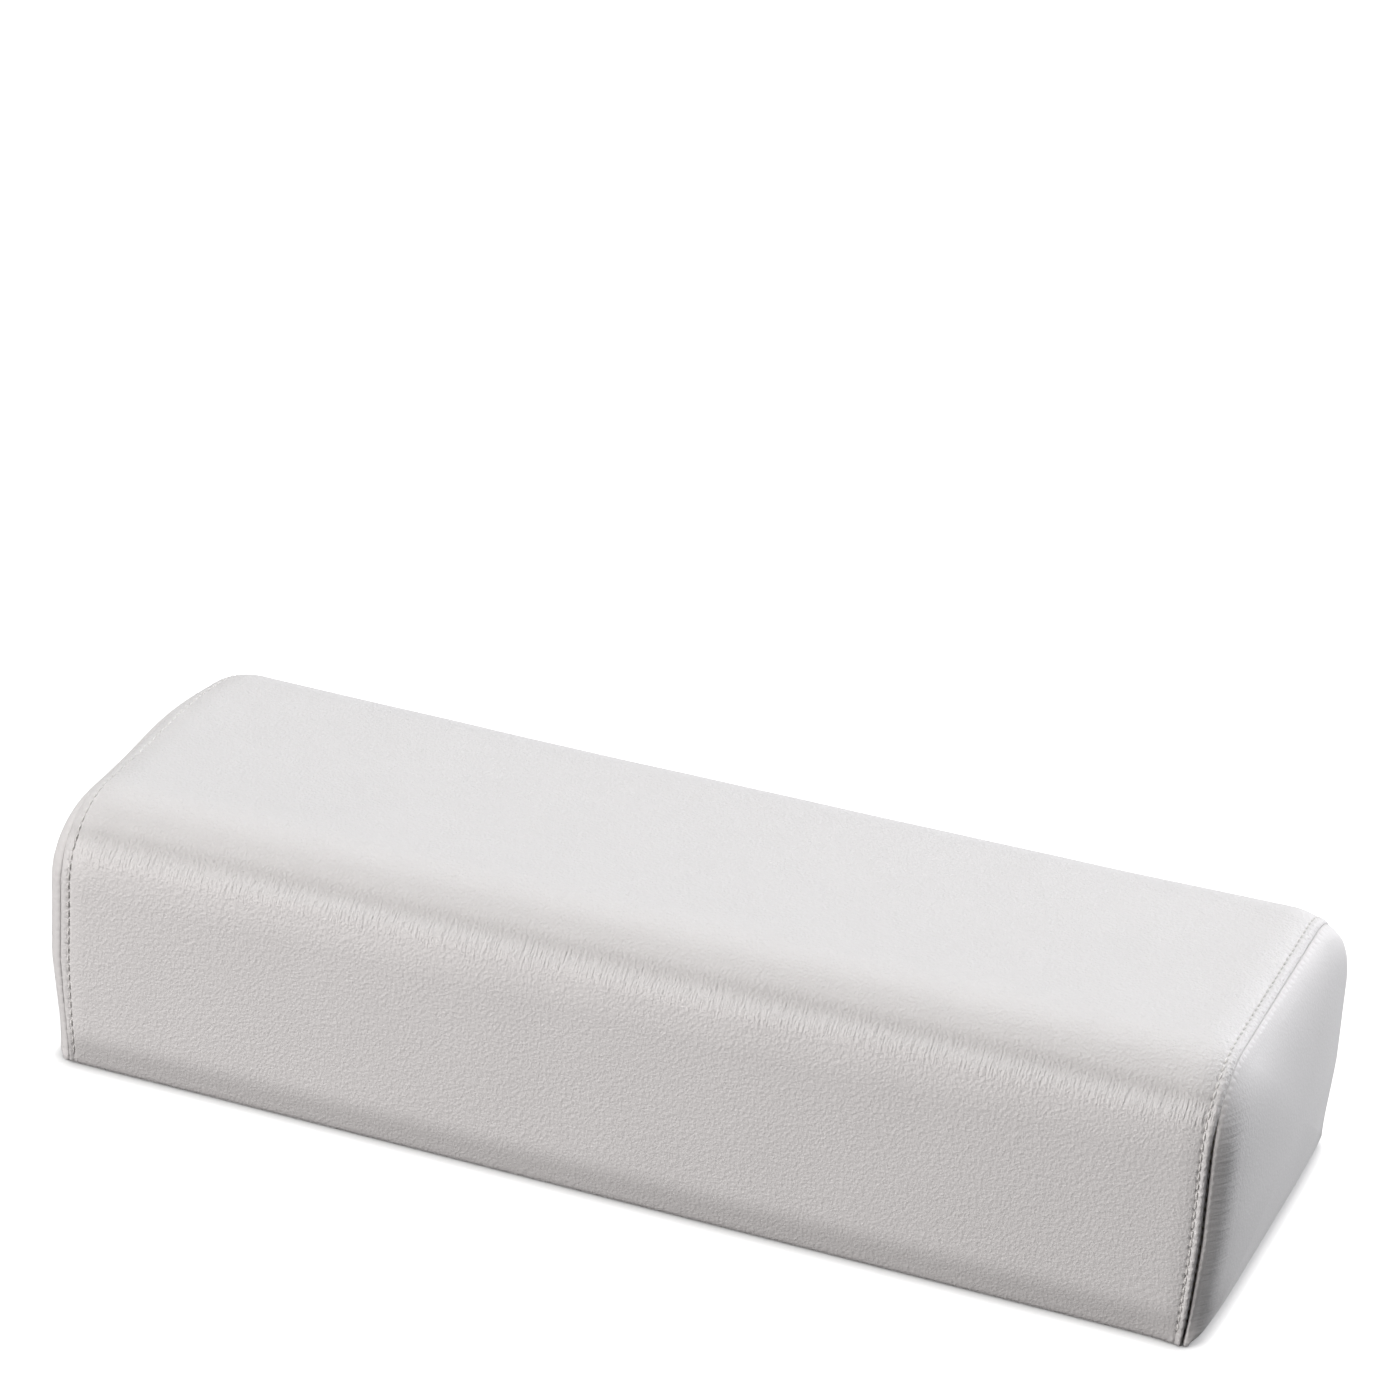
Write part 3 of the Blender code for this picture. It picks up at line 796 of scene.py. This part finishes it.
class Nodes:
    """Short hand for building one material's nodes."""

    def __init__(self, name):
        self.material = bpy.data.materials.new(name)
        self.material.use_nodes = True
        self.tree = self.material.node_tree
        self.shader = self.tree.nodes["Principled BSDF"]

    def add(self, kind, inputs=(), **settings):
        node = self.tree.nodes.new("ShaderNode" + kind)
        for key, value in settings.items():
            setattr(node, key, value)
        for key, value in dict(inputs).items():
            self.put(node.inputs[key], value)
        return node

    def put(self, socket, value):
        if isinstance(value, bpy.types.NodeSocket):
            self.tree.links.new(value, socket)
        else:
            socket.default_value = value

    def set(self, **values):
        for key, value in values.items():
            self.put(self.shader.inputs[key.replace("_", " ")], value)

    def place(self):
        return self.add("TexCoord").outputs["Object"]

    def noise(self, scale, detail=2.0, roughness=0.5, vector=None):
        inputs = {"Vector": vector or self.place(), "Scale": scale, "Detail": detail, "Roughness": roughness}
        return self.add("TexNoise", inputs).outputs["Fac"]

    def blend(self, factor, first, second):
        """Mixes two colours, given as sockets or as four numbers."""
        mix = self.add("Mix", data_type="RGBA")
        for key, value in ((0, factor), (6, first), (7, second)):
            self.put(mix.inputs[key], value)
        return mix.outputs[2]

    def ramp(self, factor, low, high):
        """Runs from low to high as the factor goes from 0 to 1; numbers or colours."""
        if isinstance(low, tuple):
            return self.blend(factor, (*low, 1.0), (*high, 1.0))
        inputs = {"Value": factor, "To Min": low, "To Max": high}
        return self.add("MapRange", inputs).outputs["Result"]

    def math(self, operation, a, b):
        node = self.add("Math", operation=operation)
        self.put(node.inputs[0], a)
        self.put(node.inputs[1], b)
        return node.outputs[0]

    def bump(self, height, distance, strength=1.0, normal=None):
        inputs = {"Height": height, "Distance": distance, "Strength": strength}
        if normal:
            inputs["Normal"] = normal
        return self.add("Bump", inputs).outputs["Normal"]


def leatherette(name, wrinkle_scale, wrinkle_depth, grain_strength):
    """White leatherette; its fine wrinkles run across the direction of the largest wrinkle scale."""
    n = Nodes(name)
    cells = n.add("TexVoronoi", {"Vector": n.place(), "Scale": 1000.0}).outputs["Distance"]
    pores = n.noise(1900.0, 1.0, 0.6)
    broad = n.noise(45.0, 2.0, 0.5)
    grain = n.math("ADD", cells, pores)
    tone = n.ramp(broad, (0.825, 0.815, 0.815), (0.79, 0.78, 0.78))
    tone = n.blend(n.ramp(grain, 0.0, 0.14), tone, (0.62, 0.605, 0.60, 1.0))
    # Painted shade: the colour is darkened towards near black in the seams' groove and dents, over the top
    # edges, low on the walls and near the end panels' bottom corners
    painted_shade = n.add("Attribute", attribute_name="painted_shade").outputs["Fac"]
    tone = n.blend(painted_shade, tone, (0.08, 0.075, 0.07, 1.0))
    stretched = n.add("Mapping", {"Vector": n.place(), "Scale": wrinkle_scale}).outputs["Vector"]
    pucker = n.add("Attribute", attribute_name="pucker").outputs["Fac"]
    wrinkles = n.math("MULTIPLY", n.noise(1.0, 1.0, 0.5, stretched), pucker)
    n.set(Base_Color=tone, Roughness=n.ramp(pores, 0.40, 0.56))
    n.set(Normal=n.bump(grain, 0.0002, grain_strength, n.bump(wrinkles, wrinkle_depth, 0.8)))
    return n.material


def thread():
    n = Nodes("white_thread")
    twist = n.noise(2600.0, 2.0)
    n.set(Base_Color=n.ramp(twist, (0.72, 0.71, 0.69), (0.86, 0.855, 0.84)))
    n.set(Roughness=n.ramp(twist, 0.55, 0.7))
    n.set(Normal=n.bump(twist, 0.0001, 0.6))
    return n.material


def foam():
    n = Nodes("upholstery_foam")
    cells = n.add("TexVoronoi", {"Vector": n.place(), "Scale": 900.0}).outputs["Distance"]
    n.set(Base_Color=n.ramp(cells, (0.70, 0.64, 0.48), (0.88, 0.84, 0.72)))
    n.set(Roughness=n.ramp(cells, 0.85, 1.0))
    n.set(Normal=n.bump(cells, 0.0006, 0.8))
    return n.material


def plywood():
    n = Nodes("bare_plywood")
    two_plies = 0.0032
    split = n.add("SeparateXYZ", {"Vector": n.place()})
    stretched = n.add("Mapping", {"Vector": n.place(), "Scale": (14.0, 160.0, 160.0)}).outputs["Vector"]
    fibre = n.noise(1.0, 6.0, 0.6, stretched)
    plies = n.math("SINE", n.math("MULTIPLY", split.outputs["Z"], 2 * math.pi / two_plies), 0.0)
    tone = n.math("ADD", n.math("MULTIPLY", plies, 0.18), fibre)
    n.set(Base_Color=n.ramp(tone, (0.40, 0.26, 0.14), (0.70, 0.53, 0.34)))
    n.set(Roughness=n.ramp(fibre, 0.6, 0.8))
    n.set(Normal=n.bump(fibre, 0.0003, 0.4))
    return n.material


def base_cloth():
    n = Nodes("black_base_cloth")
    fibre = n.noise(1400.0, 4.0, 0.7)
    dots = n.add("TexVoronoi", {"Vector": n.place(), "Scale": 700.0}).outputs["Distance"]
    n.set(Base_Color=n.ramp(fibre, (0.018, 0.018, 0.020), (0.055, 0.055, 0.060)))
    n.set(Roughness=n.ramp(fibre, 0.8, 0.95))
    n.set(Normal=n.bump(n.math("ADD", fibre, dots), 0.0002, 0.6))
    n.shader.inputs["Sheen Weight"].default_value = 0.2
    return n.material


def staple_steel():
    n = Nodes("staple_steel")
    stretched = n.add("Mapping", {"Vector": n.place(), "Scale": (4000.0, 4000.0, 300.0)}).outputs["Vector"]
    drawn = n.noise(1.0, 3.0, 0.6, stretched)
    n.set(Base_Color=n.ramp(drawn, (0.48, 0.48, 0.49), (0.66, 0.66, 0.66)))
    n.set(Roughness=n.ramp(drawn, 0.25, 0.45))
    n.set(Normal=n.bump(drawn, 0.00003, 0.5))
    n.shader.inputs["Metallic"].default_value = 1.0
    return n.material


def seen_only(tree):
    """1 for rays that show the background: from the camera, in gloss, or through something clear."""
    path = tree.nodes.new("ShaderNodeLightPath")
    dimmed = tree.nodes.new("ShaderNodeMath")
    dimmed.operation = "MULTIPLY"
    tree.links.new(path.outputs["Is Glossy Ray"], dimmed.inputs[0])
    dimmed.inputs[1].default_value = GLOSS_SHARE
    total = path.outputs["Is Camera Ray"]
    for shown in (dimmed.outputs[0], path.outputs["Is Transmission Ray"]):
        most = tree.nodes.new("ShaderNodeMath")
        most.operation = "MAXIMUM"
        tree.links.new(total, most.inputs[0])
        tree.links.new(shown, most.inputs[1])
        total = most.outputs[0]
    return total


def make_world():
    """White where it is seen, and a faint fill in the light it gives."""
    world = bpy.data.worlds.new("studio")
    bpy.context.scene.world = world
    world.use_nodes = True
    tree = world.node_tree
    shown = tree.nodes["Background"]
    shown.inputs["Color"].default_value = (1.0, 1.0, 1.0, 1.0)
    shown.inputs["Strength"].default_value = 1.0
    fill = tree.nodes.new("ShaderNodeBackground")
    fill.inputs["Color"].default_value = (1.0, 1.0, 1.0, 1.0)
    fill.inputs["Strength"].default_value = WORLD_STRENGTH
    mix = tree.nodes.new("ShaderNodeMixShader")
    tree.links.new(seen_only(tree), mix.inputs["Fac"])
    tree.links.new(fill.outputs[0], mix.inputs[1])
    tree.links.new(shown.outputs[0], mix.inputs[2])
    tree.links.new(mix.outputs[0], tree.nodes["World Output"].inputs["Surface"])


def make_floor():
    """White where it is seen, with the rest's shadows and a painted contact shadow in its glow, and much
    darker in the light it gives back.
    """
    mesh = bpy.data.meshes.new("floor")
    corners = [(x * FLOOR_HALF, y * FLOOR_HALF, 0) for x, y in ((-1, -1), (1, -1), (1, 1), (-1, 1))]
    mesh.from_pydata(corners, [], [(0, 1, 2, 3)])
    floor = bpy.data.objects.new("floor", mesh)
    bpy.context.scene.collection.objects.link(floor)
    material = bpy.data.materials.new("studio_floor")
    material.use_nodes = True
    tree = material.node_tree
    tree.nodes.remove(tree.nodes["Principled BSDF"])
    dull = tree.nodes.new("ShaderNodeBsdfDiffuse")
    dull.inputs["Color"].default_value = (FLOOR_BOUNCE, FLOOR_BOUNCE, FLOOR_BOUNCE, 1.0)
    white = tree.nodes.new("ShaderNodeBsdfDiffuse")
    white.inputs["Color"].default_value = (FLOOR_SHADED, FLOOR_SHADED, FLOOR_SHADED, 1.0)
    # Painted contact shadow: ambient occlusion darkens the floor's glow close to the rest
    near = tree.nodes.new("ShaderNodeAmbientOcclusion")
    near.inputs["Distance"].default_value = CONTACT_SHADOW
    near.samples = 1
    glow = tree.nodes.new("ShaderNodeEmission")
    glow.inputs["Strength"].default_value = FLOOR_GLOW
    tree.links.new(near.outputs["Color"], glow.inputs["Color"])
    both = tree.nodes.new("ShaderNodeAddShader")
    mix = tree.nodes.new("ShaderNodeMixShader")
    tree.links.new(white.outputs[0], both.inputs[0])
    tree.links.new(glow.outputs[0], both.inputs[1])
    tree.links.new(seen_only(tree), mix.inputs["Fac"])
    tree.links.new(dull.outputs[0], mix.inputs[1])
    tree.links.new(both.outputs[0], mix.inputs[2])
    tree.links.new(mix.outputs[0], tree.nodes["Material Output"].inputs["Surface"])
    mesh.materials.append(material)


def direction(azimuth, elevation):
    """Unit vector away from the rest; azimuth runs from the front (-Y) towards +X, in radians."""
    level = math.cos(elevation)
    return Vector((math.sin(azimuth) * level, -math.cos(azimuth) * level, math.sin(elevation)))


def make_lamp(name, azimuth, elevation, distance, width, height, power, colour):
    """Area lamp aimed at the middle of the rest, with its angles in degrees."""
    data = bpy.data.lights.new(name, "AREA")
    data.shape = "RECTANGLE"
    data.size = width
    data.size_y = height
    data.energy = power
    data.color = colour
    lamp = bpy.data.objects.new(name, data)
    bpy.context.scene.collection.objects.link(lamp)
    away = direction(math.radians(azimuth), math.radians(elevation))
    target = Vector((0.0, 0.0, HEIGHT / 2))
    lamp.location = target + away * distance
    lamp.rotation_euler = away.to_track_quat("Z", "Y").to_euler()
    lamp.visible_glossy = name != NO_GLOSS


def make_camera():
    """The photo's camera, a little rolled."""
    azimuth, elevation, roll = (math.radians(angle) for angle in CAMERA_ANGLES)
    back = direction(azimuth, elevation)
    level = Vector((math.cos(azimuth), math.sin(azimuth), 0.0))
    over = back.cross(level)
    right = level * math.cos(roll) + over * math.sin(roll)
    up = over * math.cos(roll) - level * math.sin(roll)
    data = bpy.data.cameras.new("camera")
    data.sensor_width = SENSOR_WIDTH
    data.lens = CAMERA_LENS
    camera = bpy.data.objects.new("camera", data)
    turned = Matrix((right, up, back)).transposed().to_4x4()
    camera.matrix_world = Matrix.Translation(CAMERA_PLACE) @ turned
    bpy.context.scene.collection.objects.link(camera)
    bpy.context.scene.camera = camera


make_camera()
make_world()
make_floor()
for lamp in LAMPS:
    make_lamp(*lamp)

end_material = leatherette("leatherette_ends", (120.0, 120.0, 900.0), 0.0005, 0.22)
thread_material = thread()
make_wrap(leatherette("leatherette_long", (1500.0, 170.0, 170.0), 0.0006, 0.8))
make_panel("leatherette_end_left", "end_panel_left", -1, end_material)
make_panel("leatherette_end_right", "end_panel_right", 1, end_material)
make_foam(foam())
topstitch = (TOPSTITCH_RADIUS, TOPSTITCH_SUNK, thread_material)
seam_thread = (SEAM_THREAD_RADIUS, SEAM_THREAD_SUNK, thread_material)
for end, side_sign in (("left", -1), ("right", 1)):
    make_stitches(f"topstitching_{end}", side_sign, -TOPSTITCH_SPACING[side_sign], *topstitch)
    make_stitches(f"seam_thread_{end}", side_sign, 0.0, *seam_thread)
make_base_cloth(base_cloth())

wood, steel = plywood(), staple_steel()
for node_name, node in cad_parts.items():
    if node_name == "base_board":
        node.data.materials[0] = wood
    elif node_name.startswith("staple_"):
        node.data.materials[0] = steel

bpy.context.scene.view_settings.view_transform = "Standard"
